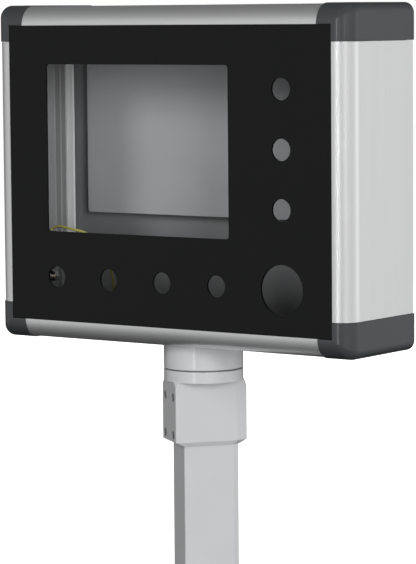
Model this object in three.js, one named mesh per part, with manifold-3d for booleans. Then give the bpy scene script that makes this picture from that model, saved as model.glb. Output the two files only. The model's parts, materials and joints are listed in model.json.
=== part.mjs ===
// Operator panel housing on a swivel coupling and a rectangular support tube.
// Millimetres, +Z up. The housing's front faces -Y. The origin is on the swivel axis, at the tube's lower end.
import * as THREE from 'three';
import { mergeVertices } from 'three/addons/utils/BufferGeometryUtils.js';
import { ConvexGeometry } from 'three/addons/geometries/ConvexGeometry.js';
import Module from 'manifold-3d';

const wasm = await Module();
wasm.setup();

// ---------- Driving dimensions ----------
const GAP = 0.3;                 // air between touching pieces
const PANEL_WIDTH = 406;
const PANEL_HEIGHT = 310;
const PANEL_THICKNESS = 3;
const BAND = 20;                 // width of the frame round the panel, and radius of its front edge
const DEPTH = 120;               // housing depth, front to back
const AXIS_DEPTH = 65;           // swivel axis behind the panel's face
const HEAD_BASE = 240;           // housing's lower face above the tube's end
const WALL = 3;                  // profile wall
const FLANGE = { front: 4.2, back: 7.2, reach: 30 };     // seat of the front panel, depths and reach
const LEDGE = { front: 107, back: 110, reach: 20 };      // seat of the rear door
const RIB = { front: 85, back: 87, reach: 12 };          // stiffening rib inside the profile
const CHANNEL = { front: 95, back: 97, hook: 104, floor: 5.5 };   // nut channel in front of the door's seat
const CAP_ARM = 37;              // length of a corner cap along each side
const CAP_PROUD = 1;             // how far the caps stand out of the profiles
const CAP_RADIUS = 11;           // outer corner radius of a cap
const DEVICE_HOLE = 22.3;        // diameter of the holes for standard push buttons
const SWITCH_HOLE = 50.5;        // diameter of the large hole
const DISPLAY = { left: 49.1, right: 282, low: 94.5, high: 269.5, radius: 3.5 };    // from the panel's lower left
const ROW = { height: 46.3, first: 60.4, pitch: 68.5, count: 4 };
const COLUMN = { across: 346, first: 79.7, pitch: 60, count: 3 };                 // first: above the row
const HINGE = { x: -218.7, y: 59.3, barrel: 3.6, bore: 2, pin: 1.7, half: 25 };
const FITTING_HEIGHTS = [100, 250];                      // hinges and locks above the housing's lower face
const LOCK = { x: 188, stem: 8, flange: 11, bore: 4.3, insert: 4, tongue: 21 };
const SUPPORT_TURN = 53.8;       // degrees from the housing's X to the tube's long side
const COUPLING_RADIUS = 41.5;
const SCREW_CIRCLE = 37.3;       // radius of the coupling's screw circle
const DUCT_RADIUS = 23.5;        // cable passage into the housing
const SPIGOT_BORE = 21.5;        // cable passage through the clamp's spigot
const BUSH = { bore: 26, outside: 27.7, collar: 31 };
const RETAINER_RADIUS = 32.5;
const SCREW = { shank: 2.5, hole: 2.8, head: 4.2 };      // M5 socket screws, radii
const TUBE = { left: -28, right: 32, half: 20, wall: 3, bevelA: 6, bevelB: 3 };
const CLAMP = { left: -38.2, right: 41.6, half: 23.3, bevelA: 12.8, bevelB: 6 };
const STOP = { radius: 34, pin: 2, free: 150 };          // swivel stop: circle, pin, degrees each way
const WIRE_RADIUS = 1.45;

// ---------- Places that follow from them ----------
const FRONT = -AXIS_DEPTH;
const BACK = FRONT + DEPTH;
const SIDE = PANEL_WIDTH / 2 + BAND;
const BOTTOM = HEAD_BASE;
const TOP = HEAD_BASE + PANEL_HEIGHT + 2 * BAND;
const PANEL_LEFT = -PANEL_WIDTH / 2;
const PANEL_FOOT = BOTTOM + BAND;
const MID_HEIGHT = (BOTTOM + TOP) / 2;
const ROW_HEIGHT = PANEL_FOOT + ROW.height;
const COLUMN_X = PANEL_LEFT + COLUMN.across;
const FITTINGS = FITTING_HEIGHTS.map((height) => BOTTOM + height);
const LEVEL = {                  // heights in the coupling and the clamp
  clampFoot: BOTTOM - 106.6, clampEdge: BOTTOM - 102, shoulderFoot: BOTTOM - 57.4, tubeTop: BOTTOM - 46,
  ring: BOTTOM - 38, grooveFloor: BOTTOM - 31.5, ringTop: BOTTOM - 27.1, flangeFoot: BOTTOM - 25.9,
  threadFoot: BOTTOM - 18, bushTop: BOTTOM - 11, shoulder: BOTTOM - 10.3, spigotTop: BOTTOM - 10,
  retainerTop: BOTTOM - 5.7,
};

// ---------- Materials ----------
const finish = (color, roughness, metalness) =>
  () => new THREE.MeshStandardMaterial({ color, roughness, metalness });
const aluminium = finish(0xc9cbce, 0.38, 0.9);
const blackPanel = finish(0x1c1d1c, 0.45, 0.2);
const darkPlastic = finish(0x55585a, 0.35, 0.0);
const lightPaint = finish(0xc6c8ca, 0.45, 0.1);
const greyPaint = finish(0x6d7072, 0.5, 0.1);
const platePaint = finish(0x9a9d9f, 0.5, 0.1);
const steel = finish(0xb0b2b4, 0.3, 1.0);
const zinc = finish(0x8b8d8f, 0.4, 0.9);
const rubber = finish(0x1a1a1a, 0.8, 0.0);
const polymer = finish(0xe6e2d6, 0.5, 0.0);
const wireCoat = finish(0xa8a848, 0.5, 0.0);
const copper = finish(0xb8a890, 0.35, 0.8);

// ---------- Outlines ----------
const arc = (cx, cy, r, from, to, steps) => Array.from({ length: steps + 1 }, (_, i) => {
  const angle = THREE.MathUtils.degToRad(from + (to - from) * i / steps);
  return [cx + r * Math.cos(angle), cy + r * Math.sin(angle)];
});
const circle = (cx, cy, r, steps = 32) => arc(cx, cy, r, 0, 360, steps).slice(0, -1);
const rectangle = (x0, x1, y0, y1) => [[x0, y0], [x1, y0], [x1, y1], [x0, y1]];

function roundedRectangle(x0, x1, y0, y1, r, steps = 4) {
  return [
    ...arc(x1 - r, y1 - r, r, 0, 90, steps),
    ...arc(x0 + r, y1 - r, r, 90, 180, steps),
    ...arc(x0 + r, y0 + r, r, 180, 270, steps),
    ...arc(x1 - r, y0 + r, r, 270, 360, steps),
  ];
}

function outline(points, holes = []) {
  const vectors = (list) => list.map(([x, y]) => new THREE.Vector2(x, y));
  const shape = new THREE.Shape(vectors(points));
  shape.holes = holes.map((hole) => new THREE.Path(vectors(hole)));
  return shape;
}

// ---------- Solids ----------
// An upright prism over an outline in X and Y.
function uprightPrism(shape, low, high) {
  return new THREE.ExtrudeGeometry(shape, { depth: high - low, bevelEnabled: false }).translate(0, 0, low);
}

// A plate whose outline is in X and Z, between two depths.
function plate(shape, front, back) {
  const geometry = new THREE.ExtrudeGeometry(shape, { depth: back - front, bevelEnabled: false });
  return geometry.rotateX(Math.PI / 2).translate(0, back, 0);
}

// A bar whose outline is in Y and Z, along X.
function crossBar(shape, left, right) {
  const geometry = new THREE.ExtrudeGeometry(shape, { depth: right - left, bevelEnabled: false });
  const turn = new THREE.Matrix4().makeBasis(
    new THREE.Vector3(0, 1, 0), new THREE.Vector3(0, 0, 1), new THREE.Vector3(1, 0, 0));
  return geometry.applyMatrix4(turn).translate(left, 0, 0);
}

function block(x0, x1, y0, y1, z0, z1) {
  const geometry = new THREE.BoxGeometry(x1 - x0, y1 - y0, z1 - z0);
  return geometry.translate((x0 + x1) / 2, (y0 + y1) / 2, (z0 + z1) / 2);
}

// A turned piece about Z. The profile is a list of [radius, height] and closes on itself.
function turned(profile, steps = 40) {
  const points = [...profile, profile[0]].map(([r, z]) => new THREE.Vector2(r, z));
  return new THREE.LatheGeometry(points, steps).rotateX(Math.PI / 2);
}

const rod = (r, low, high, steps = 20) =>
  new THREE.CylinderGeometry(r, r, high - low, steps).rotateX(Math.PI / 2).translate(0, 0, (low + high) / 2);
const ring = (inner, outer, low, high, steps = 40) =>
  uprightPrism(outline(circle(0, 0, outer, steps), [circle(0, 0, inner, steps)]), low, high);
const rodAlongY = (r, x, z, front, back, steps = 20) =>
  rod(r, -back, -front, steps).rotateX(Math.PI / 2).translate(x, 0, z);
const rodAlongX = (r, y, z, left, right, steps = 20) =>
  rod(r, left, right, steps).rotateY(Math.PI / 2).translate(0, y, z);

function toSolid(geometry) {
  const bare = geometry.clone();
  bare.deleteAttribute('normal');
  bare.deleteAttribute('uv');
  const merged = mergeVertices(bare, 1e-4);
  return new wasm.Manifold(new wasm.Mesh({
    numProp: 3,
    vertProperties: new Float32Array(merged.attributes.position.array),
    triVerts: new Uint32Array(merged.index.array),
  }));
}

function toGeometry(manifold) {
  const mesh = manifold.getMesh();
  const geometry = new THREE.BufferGeometry();
  geometry.setAttribute('position', new THREE.BufferAttribute(new Float32Array(mesh.vertProperties), 3));
  geometry.setIndex(new THREE.BufferAttribute(new Uint32Array(mesh.triVerts), 1));
  geometry.computeVertexNormals();
  return geometry;
}

const cut = (base, ...tools) =>
  toGeometry(tools.reduce((solid, tool) => solid.subtract(toSolid(tool)), toSolid(base)));
const join = (...pieces) =>
  toGeometry(pieces.map(toSolid).reduce((solid, piece) => solid.add(piece)));
const common = (...pieces) =>
  toGeometry(pieces.map(toSolid).reduce((solid, piece) => solid.intersect(piece)));

function named(name, geometry, material) {
  const mesh = new THREE.Mesh(geometry, material());
  mesh.name = name;
  return mesh;
}

// ---------- Housing frame ----------
// Section of the frame profile: [distance in from the outer face, depth behind the panel's face].
function profileSection() {
  const innerArc = arc(BAND, BAND, BAND - WALL, 180, 270, 8).filter(([, depth]) => depth > FLANGE.back);
  const chamberMouth = BAND - Math.sqrt((BAND - WALL) ** 2 - (BAND - FLANGE.back) ** 2);
  return [
    ...arc(BAND, BAND, BAND, 270, 180, 10),
    [0, DEPTH - 0.8], [0.8, DEPTH], [WALL, DEPTH],
    [WALL, LEDGE.back], [LEDGE.reach, LEDGE.back], [LEDGE.reach, LEDGE.front], [RIB.reach, LEDGE.front],
    [RIB.reach, CHANNEL.hook], [CHANNEL.floor, CHANNEL.hook], [CHANNEL.floor, CHANNEL.back],
    [RIB.reach, CHANNEL.back], [RIB.reach, CHANNEL.front], [WALL, CHANNEL.front],
    [WALL, RIB.back], [RIB.reach, RIB.back], [RIB.reach, RIB.front], [WALL, RIB.front],
    ...innerArc,
    [chamberMouth, FLANGE.back], [FLANGE.reach, FLANGE.back], [FLANGE.reach, FLANGE.front],
    [BAND, FLANGE.front],
  ];
}

function frameProfiles() {
  const section = profileSection();
  const reach = SIDE - CAP_ARM - GAP;
  const low = BOTTOM + CAP_ARM + GAP;
  const high = TOP - CAP_ARM - GAP;
  const top = outline(section.map(([inward, depth]) => [FRONT + depth, TOP - inward]));
  const bottom = outline(section.map(([inward, depth]) => [FRONT + depth, BOTTOM + inward]));
  const left = outline(section.map(([inward, depth]) => [-SIDE + inward, FRONT + depth]));
  const right = outline(section.map(([inward, depth]) => [SIDE - inward, FRONT + depth]));
  const couplingCuts = [
    rod(DUCT_RADIUS, BOTTOM - 1, BOTTOM + WALL + 1, 40),
    ...screwPlaces().map(([x, y]) => rod(SCREW.hole, BOTTOM - 1, BOTTOM + WALL + 1).translate(x, y, 0)),
    block(-52, 52, FRONT + 80, FRONT + LEDGE.front, BOTTOM + WALL, BOTTOM + 13),
  ];
  return [
    named('profile_top', crossBar(top, -reach, reach), aluminium),
    named('profile_bottom', cut(crossBar(bottom, -reach, reach), ...couplingCuts), aluminium),
    named('profile_left', uprightPrism(left, low, high), aluminium),
    named('profile_right', uprightPrism(right, low, high), aluminium),
  ];
}

// A rectangular body round the panel's outline, with a quarter-round front edge of the given radius.
function roundedBody(radius, back) {
  const right = PANEL_WIDTH / 2;
  const shape = outline(rectangle(-right, right, PANEL_FOOT, PANEL_FOOT + PANEL_HEIGHT));
  const depth = back - FRONT - BAND;
  const geometry = new THREE.ExtrudeGeometry(shape, {
    depth: depth + BAND, bevelEnabled: true, bevelThickness: radius, bevelSize: radius, bevelSegments: 10 });
  return geometry.rotateX(Math.PI / 2).translate(0, back + BAND, 0);
}

function pocket(inward, front, back, radius = 6) {
  return plate(outline(roundedRectangle(
    -SIDE + inward, SIDE - inward, BOTTOM + inward, TOP - inward, radius)), FRONT + front, FRONT + back);
}

function cornerCaps() {
  const blank = common(
    roundedBody(BAND + CAP_PROUD, BACK + CAP_PROUD),
    pocket(-CAP_PROUD, -CAP_PROUD, DEPTH + CAP_PROUD, CAP_RADIUS));
  const chamber = common(roundedBody(BAND - WALL, BACK), pocket(WALL, FLANGE.back, LEDGE.front));
  const shell = cut(blank, chamber,
    pocket(BAND, -2, FLANGE.front, 0.5), pocket(FLANGE.reach, 0, LEDGE.front, 2),
    pocket(LEDGE.reach, LEDGE.front - 1, LEDGE.back + 1, 2), pocket(WALL, LEDGE.back, DEPTH + 2));
  const arm = CAP_ARM + CAP_PROUD;
  const caps = [];
  for (const [name, x, z] of [
    ['corner_cap_top_left', -SIDE - CAP_PROUD, TOP + CAP_PROUD - arm],
    ['corner_cap_top_right', SIDE + CAP_PROUD - arm, TOP + CAP_PROUD - arm],
    ['corner_cap_bottom_left', -SIDE - CAP_PROUD, BOTTOM - CAP_PROUD],
    ['corner_cap_bottom_right', SIDE + CAP_PROUD - arm, BOTTOM - CAP_PROUD]]) {
    const corner = block(x, x + arm, FRONT - 5, BACK + 5, z, z + arm);
    caps.push(named(name, common(shell, corner), darkPlastic));
  }
  return caps;
}

// Angle pieces inside the corners that tie two profiles together.
function cornerKeys() {
  const inner = WALL + GAP;
  const arm = 66;
  const thickness = 3;
  const keys = [];
  for (const [side, sx] of [['left', -1], ['right', 1]]) {
    for (const [level, sz] of [['bottom', -1], ['top', 1]]) {
      const x = (inward) => sx * (SIDE - inward);
      const z = (inward) => MID_HEIGHT + sz * ((TOP - BOTTOM) / 2 - inward);
      const shape = outline([
        [x(inner + 6), z(inner)], [x(arm), z(inner)], [x(arm), z(inner + thickness)],
        [x(inner + 9), z(inner + thickness)], [x(inner + thickness), z(inner + 9)],
        [x(inner + thickness), z(arm)], [x(inner), z(arm)], [x(inner), z(inner + 6)]]);
      keys.push(named(`corner_key_${level}_${side}`, plate(shape, FRONT + 40, FRONT + 60), zinc));
    }
  }
  return keys;
}

// ---------- Front panel ----------
function deviceHoles() {
  const holes = [circle(COLUMN_X, ROW_HEIGHT, SWITCH_HOLE / 2, 40)];
  for (let i = 0; i < COLUMN.count; i += 1) {
    holes.push(circle(COLUMN_X, ROW_HEIGHT + COLUMN.first + COLUMN.pitch * i, DEVICE_HOLE / 2));
  }
  for (let i = 0; i < ROW.count; i += 1) {
    holes.push(circle(PANEL_LEFT + ROW.first + ROW.pitch * i, ROW_HEIGHT, DEVICE_HOLE / 2));
  }
  return holes;
}

function frontPanel() {
  const edge = PANEL_WIDTH / 2 - GAP;
  const display = roundedRectangle(PANEL_LEFT + DISPLAY.left, PANEL_LEFT + DISPLAY.right,
    PANEL_FOOT + DISPLAY.low, PANEL_FOOT + DISPLAY.high, DISPLAY.radius);
  const shape = outline(
    rectangle(-edge, edge, PANEL_FOOT + GAP, PANEL_FOOT + PANEL_HEIGHT - GAP), [display, ...deviceHoles()]);
  return named('front_panel', plate(shape, FRONT, FRONT + PANEL_THICKNESS), blackPanel);
}

function frameSeal(name, outer, inner, front, back) {
  const loop = (inward, r) => roundedRectangle(-SIDE + inward, SIDE - inward, BOTTOM + inward, TOP - inward, r);
  return named(name, plate(outline(loop(outer, 3), [loop(inner, 2)]), FRONT + front, FRONT + back), rubber);
}

// Stepped blocks that hold the panel's back against the frame's flange.
function panelClamps() {
  const clamps = [];
  for (const [side, x] of [['left', -120], ['right', 120]]) {
    for (const [level, sz] of [['bottom', -1], ['top', 1]]) {
      const z = (inward) => MID_HEIGHT + sz * ((TOP - BOTTOM) / 2 - inward);
      const panelBack = FRONT + PANEL_THICKNESS + GAP;
      const flangeBack = FRONT + FLANGE.back + GAP;
      const section = outline([
        [panelBack, z(FLANGE.reach + 1)], [panelBack, z(FLANGE.reach + 8)],
        [flangeBack + 4, z(FLANGE.reach + 8)], [flangeBack + 4, z(FLANGE.reach - 8)],
        [flangeBack, z(FLANGE.reach - 8)], [flangeBack, z(FLANGE.reach + 1)]]);
      clamps.push(named(`panel_clamp_${level}_${side}`, crossBar(section, x - 10, x + 10), zinc));
    }
  }
  return clamps;
}

// ---------- Earth bonding lead ----------
const PANEL_STUD = new THREE.Vector3(PANEL_LEFT + 44, FRONT + 12.6, PANEL_FOOT + 46);
const FRAME_STUD = new THREE.Vector3(PANEL_LEFT + 96, FRONT + 45, BOTTOM + WALL);
const LUG_DIRECTION = new THREE.Vector3(-0.37, 0, 0.93).normalize();
const LUG_REACH = 16;

function wireRoute() {
  const start = PANEL_STUD.clone().addScaledVector(LUG_DIRECTION, LUG_REACH + GAP);
  const fromPanel = [
    [34.6, 14.5, 70], [31, 20, 79.5], [29.5, 26, 88], [32, 29.2, 94], [38, 30, 96.9], [45, 30, 96.8],
    [53, 30, 95.6], [62, 30, 94.2], [72, 30, 92.4], [83, 30, 88.5], [94, 29.5, 81], [103, 29, 70],
    [109, 29.5, 57], [111, 31, 44], [110, 34, 29], [107, 39.5, 15], [104.3, 44.2, 3.5]];
  const bends = fromPanel.map(([x, y, z]) => new THREE.Vector3(PANEL_LEFT + x, FRONT + y, PANEL_FOOT + z));
  const end = FRAME_STUD.clone().add(new THREE.Vector3(8, 0, 13.5 + 2 * GAP));
  return new THREE.CatmullRomCurve3([start, ...bends, end], false, 'centripetal');
}

function earthLead() {
  const section = outline(circle(0, 0, WIRE_RADIUS, 8));
  const wire = new THREE.ExtrudeGeometry(section, { steps: 70, bevelEnabled: false, extrudePath: wireRoute() });
  return named('earth_wire', wire, wireCoat);
}

function hexNut(radius, bore, low, high) {
  return uprightPrism(outline(circle(0, 0, radius, 6), [circle(0, 0, bore, 18)]), low, high);
}

// Panel stud, standing on the panel's back, with its nut and ring lug. Its own axis is Y.
function panelEarthPoint() {
  const { x, y, z } = PANEL_STUD;
  const lug = join(
    ring(3.4, 5.6, -0.6, 0.6, 24),
    block(4.5, 8, -2.2, 2.2, -0.6, 0.6),
    rod(2.4, 6.2, LUG_REACH, 16).rotateY(Math.PI / 2),
  );
  const lean = Math.atan2(LUG_DIRECTION.z, LUG_DIRECTION.x);
  const place = (geometry) => geometry.rotateX(Math.PI / 2).translate(x, y, z);
  return [
    named('panel_earth_stud', rodAlongY(3, x, z, FRONT + PANEL_THICKNESS + GAP, y + 9), steel),
    named('panel_earth_lug', place(lug.rotateZ(lean)), copper),
    named('panel_earth_nut', place(hexNut(5.7, 3.3, -5.9, -0.9)), steel),
  ];
}

// Frame stud, standing on the floor of the lower profile, with its nut and upturned ring lug.
function frameEarthPoint() {
  const { x, y, z } = FRAME_STUD;
  const lug = join(
    ring(3.4, 5.6, 2.4, 3.6, 24),
    block(4.5, 10.4, -2.4, 2.4, 2.4, 3.6),
    rod(2.4, 3, 13.5, 16).translate(8, 0, 0),
  );
  return [
    named('frame_earth_stud', rod(3, GAP, 15).translate(x, y, z), steel),
    named('frame_earth_lug', lug.translate(x, y, z), copper),
    named('frame_earth_nut', hexNut(5.1, 3.3, 3.9, 8.9).translate(x, y, z), steel),
  ];
}

// ---------- Rear door ----------
const DOOR = { front: 113, back: 116, left: -215, right: 218, inset: 4.8 };
const PLATE = { half: 177.5, low: PANEL_FOOT + 108, high: PANEL_FOOT + 298, front: 100, back: 102.5 };

function rearDoor() {
  const edge = roundedRectangle(DOOR.left, DOOR.right, BOTTOM + DOOR.inset, TOP - DOOR.inset, 5);
  const lockHoles = FITTINGS.map((height) => circle(LOCK.x, height, LOCK.stem + GAP, 24));
  return named('rear_door', plate(outline(edge, lockHoles), FRONT + DOOR.front, FRONT + DOOR.back), greyPaint);
}

function mountingPlate() {
  const edge = roundedRectangle(-PLATE.half, PLATE.half, PLATE.low, PLATE.high, 4);
  const sheet = plate(outline(edge), FRONT + PLATE.front, FRONT + PLATE.back);
  const pieces = [named('mounting_plate', sheet, platePaint)];
  for (const [side, x] of [['left', -165], ['right', 165]]) {
    for (const [level, z] of [['bottom', PLATE.low + 17], ['top', PLATE.high - 17]]) {
      const standoff = rodAlongY(4, x, z, FRONT + PLATE.back + GAP, FRONT + DOOR.front - GAP);
      pieces.push(named(`plate_standoff_${level}_${side}`, standoff, steel));
    }
  }
  return pieces;
}

// Lift-off hinges: the frame's half carries the pin, the door's half drops onto it.
function hinges() {
  const { x, y } = HINGE;
  const doorBack = FRONT + DOOR.back + GAP;
  const pieces = [];
  FITTINGS.forEach((height, i) => {
    const foot = height - HINGE.half;
    const head = height + HINGE.half;
    const low = height - GAP / 2;
    const high = height + GAP / 2;
    const frameLeaf = join(
      ring(HINGE.bore, HINGE.barrel, foot, low, 24).translate(x, y, 0),
      block(x - 0.9, x + 1.1, FRONT + 111.5, y - 2.6, foot, low));
    const doorLeaf = join(
      ring(HINGE.bore, HINGE.barrel, high, head, 24).translate(x, y, 0),
      block(x + 1.9, x + 5.1, doorBack, y - 1, high, head),
      block(x + 1.9, x + 26.7, doorBack, doorBack + 2.5, high, head));
    const pin = rod(HINGE.pin, foot + 1, head - 1, 16).translate(x, y, 0);
    pieces.push(
      named(`frame_hinge_${i + 1}`, frameLeaf, steel),
      named(`hinge_pin_${i + 1}`, pin, steel),
      named(`door_hinge_${i + 1}`, doorLeaf, steel));
  });
  return pieces;
}

function locks() {
  const doorBack = FRONT + DOOR.back;
  const ledgeFront = FRONT + LEDGE.front;
  const { x } = LOCK;
  const pieces = [];
  FITTINGS.forEach((z, i) => {
    const housing = cut(
      join(
        rodAlongY(LOCK.flange, x, z, doorBack + GAP, doorBack + 2.3, 32),
        rodAlongY(LOCK.stem, x, z, ledgeFront + GAP, doorBack + 1, 24)),
      rodAlongY(LOCK.bore, x, z, ledgeFront - 1, doorBack + 3));
    const insert = rodAlongY(LOCK.insert, x, z, ledgeFront - 3, doorBack + 2);
    const tongue = plate(
      outline(roundedRectangle(x - 5, x + 5, z - LOCK.tongue, z + 5, 2)), ledgeFront - 3.2, ledgeFront - 0.4);
    const keySlot = block(x - 3, x + 3, doorBack + 0.5, doorBack + 3, z - 0.9, z + 0.9);
    pieces.push(
      named(`lock_housing_${i + 1}`, housing, steel),
      named(`lock_cam_${i + 1}`, cut(join(insert, tongue), keySlot), zinc));
  });
  return pieces;
}

// ---------- Swivel coupling, housing side ----------
function screwPlaces() {
  return [45, 135, 225, 315].map((angle) => circle(0, 0, SCREW_CIRCLE, 360)[angle]);
}

function couplingFlange() {
  const body = turned([
    [BUSH.outside + GAP, LEVEL.flangeFoot], [COUPLING_RADIUS - 0.5, LEVEL.flangeFoot],
    [COUPLING_RADIUS, LEVEL.flangeFoot + 0.5], [COUPLING_RADIUS, BOTTOM - GAP],
    [RETAINER_RADIUS + 0.5, BOTTOM - GAP], [RETAINER_RADIUS + 0.5, LEVEL.shoulder],
    [BUSH.outside + GAP, LEVEL.shoulder]], 48);
  const threads = screwPlaces().map(([x, y]) => rod(SCREW.hole, LEVEL.threadFoot, BOTTOM).translate(x, y, 0));
  const pinHole = rod(STOP.pin + GAP, LEVEL.flangeFoot - 1, LEVEL.threadFoot).translate(0, -STOP.radius, 0);
  return named('coupling_flange', cut(body, ...threads, pinHole), lightPaint);
}

function couplingFixings() {
  const floor = BOTTOM + WALL + GAP;
  const top = floor + 5;
  const screwHoles = screwPlaces().map(([x, y]) => circle(x, y, SCREW.hole, 20));
  const plateHoles = [circle(0, 0, DUCT_RADIUS, 40), ...screwHoles];
  const stiffener = uprightPrism(outline(rectangle(-50, 50, -42, 41), plateHoles), floor, top);
  const screws = screwPlaces().map(([x, y], i) => {
    const head = rod(SCREW.head, top + GAP, top + 5.3);
    const socket = rod(2.2, top + 2.5, top + 6, 6);
    const screw = cut(join(head, rod(SCREW.shank, LEVEL.threadFoot + 2, top + 1)), socket);
    return named(`flange_screw_${i + 1}`, screw.translate(x, y, 0), steel);
  });
  return [named('reinforcing_plate', stiffener, zinc), ...screws];
}

function bearings() {
  const bush = turned([
    [BUSH.bore, LEVEL.ringTop + GAP], [BUSH.collar, LEVEL.ringTop + GAP], [BUSH.collar, LEVEL.flangeFoot - GAP],
    [BUSH.outside, LEVEL.flangeFoot - GAP], [BUSH.outside, LEVEL.bushTop], [BUSH.bore, LEVEL.bushTop]]);
  const seal = ring(38.3, COUPLING_RADIUS - 0.3, LEVEL.ringTop + GAP, LEVEL.flangeFoot - GAP, 48);
  const pin = rod(STOP.pin, LEVEL.grooveFloor + 0.5, LEVEL.threadFoot - GAP).translate(0, -STOP.radius, 0);
  return [
    named('bearing_bush', bush, polymer), named('swivel_seal', seal, rubber), named('stop_pin', pin, steel)];
}

// ---------- Support: clamp and tube, in the tube's own directions ----------
// Six-sided section: the long side lies along X, and the two corners at +X are bevelled.
function supportSection({ left, right, half, bevelA, bevelB }, spare = 0) {
  return [
    [left - spare, -half - spare], [right - bevelA, -half - spare], [right + spare, -half + bevelB],
    [right + spare, half - bevelB], [right - bevelA, half + spare], [left - spare, half + spare]];
}

// Cavity in the clamp's top face that the stop pin runs in.
function stopGroove() {
  const reach = STOP.free + THREE.MathUtils.radToDeg(Math.asin((STOP.pin + GAP) / STOP.radius));
  const track = [
    ...arc(0, 0, STOP.radius + 2.5, 180 - reach, 180 + reach, 48),
    ...arc(0, 0, STOP.radius - 2.5, 180 + reach, 180 - reach, 48)];
  return uprightPrism(outline(track), LEVEL.grooveFloor, LEVEL.ringTop + 1);
}

const CLAMP_SCREWS = [BOTTOM - 55.5, BOTTOM - 94.7].flatMap((height) => [[-13.3, height], [13.3, height]]);
const PRESS = { left: -30.4, right: -28.4, half: 17, low: BOTTOM - 101, high: BOTTOM - 49 };

function clampBody() {
  const level = (section, z) => section.map(([x, y]) => new THREE.Vector3(x, y, z));
  const prism = new ConvexGeometry([
    ...level(supportSection(CLAMP), LEVEL.ring), ...level(supportSection(CLAMP), LEVEL.clampEdge),
    ...level(supportSection(TUBE, 1), LEVEL.clampFoot)]);
  const below = LEVEL.clampFoot - 3;
  const shoulder = turned([
    [0, below], [50, below], [50, LEVEL.shoulderFoot], [COUPLING_RADIUS, LEVEL.ring], [0, LEVEL.ring]], 48);
  const collar = turned([
    [0, LEVEL.ring - 1], [COUPLING_RADIUS, LEVEL.ring - 1], [COUPLING_RADIUS, LEVEL.ringTop - 0.5],
    [COUPLING_RADIUS - 0.5, LEVEL.ringTop], [BUSH.bore - 0.3, LEVEL.ringTop],
    [BUSH.bore - 0.3, LEVEL.spigotTop], [0, LEVEL.spigotTop]], 48);
  const socket = uprightPrism(outline(supportSection(TUBE, GAP)), below, LEVEL.tubeTop + GAP);
  const duct = uprightPrism(outline(roundedRectangle(-22, 22, -15, 15, 6)), LEVEL.tubeTop, LEVEL.ring);
  const bore = rod(SPIGOT_BORE, LEVEL.ring - 0.5, LEVEL.spigotTop + 1, 40);
  const pressRoom = block(
    PRESS.left - GAP, TUBE.left, -PRESS.half - GAP, PRESS.half + GAP, PRESS.low - GAP, PRESS.high + GAP);
  const screwHoles = CLAMP_SCREWS.flatMap(([y, z]) => [
    rodAlongX(SCREW.head + 0.5, y, z, CLAMP.left - 1, -34.4), rodAlongX(SCREW.hole, y, z, -35, PRESS.left)]);
  return cut(join(common(prism, shoulder), collar), socket, duct, bore, pressRoom, stopGroove(), ...screwHoles);
}

function clampScrew(y, z) {
  const head = rodAlongX(SCREW.head, y, z, -38, -34.7);
  const shank = rodAlongX(SCREW.shank, y, z, -35, PRESS.left - GAP);
  const hexSocket = rodAlongX(2.3, y, z, -39, -36, 6);
  return cut(join(head, shank), hexSocket);
}

function supportTube() {
  const inner = { left: TUBE.left + TUBE.wall, right: TUBE.right - TUBE.wall, half: TUBE.half - TUBE.wall,
    bevelA: TUBE.bevelA - 1, bevelB: TUBE.bevelB };
  return uprightPrism(outline(supportSection(TUBE), [supportSection(inner)]), 0, LEVEL.tubeTop);
}

function support() {
  const group = new THREE.Group();
  group.rotation.z = THREE.MathUtils.degToRad(SUPPORT_TURN);
  group.add(named('clamp_body', clampBody(), lightPaint));
  const retainer = ring(SPIGOT_BORE, RETAINER_RADIUS, LEVEL.spigotTop + GAP, LEVEL.retainerTop);
  group.add(named('retaining_ring', retainer, zinc));
  const pressurePlate = block(PRESS.left, PRESS.right, -PRESS.half, PRESS.half, PRESS.low, PRESS.high);
  group.add(named('pressure_plate', pressurePlate, steel));
  CLAMP_SCREWS.forEach(([y, z], i) => group.add(named(`clamp_screw_${i + 1}`, clampScrew(y, z), zinc)));
  group.add(named('support_tube', supportTube(), lightPaint));
  return group;
}

// ---------- Assembly ----------
const assembly = new THREE.Group();
assembly.add(
  frontPanel(), frameSeal('panel_seal', 21.5, 29.5, PANEL_THICKNESS + GAP, FLANGE.front - GAP),
  ...panelClamps(), ...frameProfiles(), ...cornerCaps(), ...cornerKeys(),
  earthLead(), ...panelEarthPoint(), ...frameEarthPoint(),
  rearDoor(), frameSeal('door_seal', 11, 18, LEDGE.back + GAP, DOOR.front - GAP),
  ...mountingPlate(), ...hinges(), ...locks(),
  couplingFlange(), ...couplingFixings(), ...bearings(), support());

export default assembly;
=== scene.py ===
import json
import math

import bmesh
import bpy
from mathutils import Matrix, Vector


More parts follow.
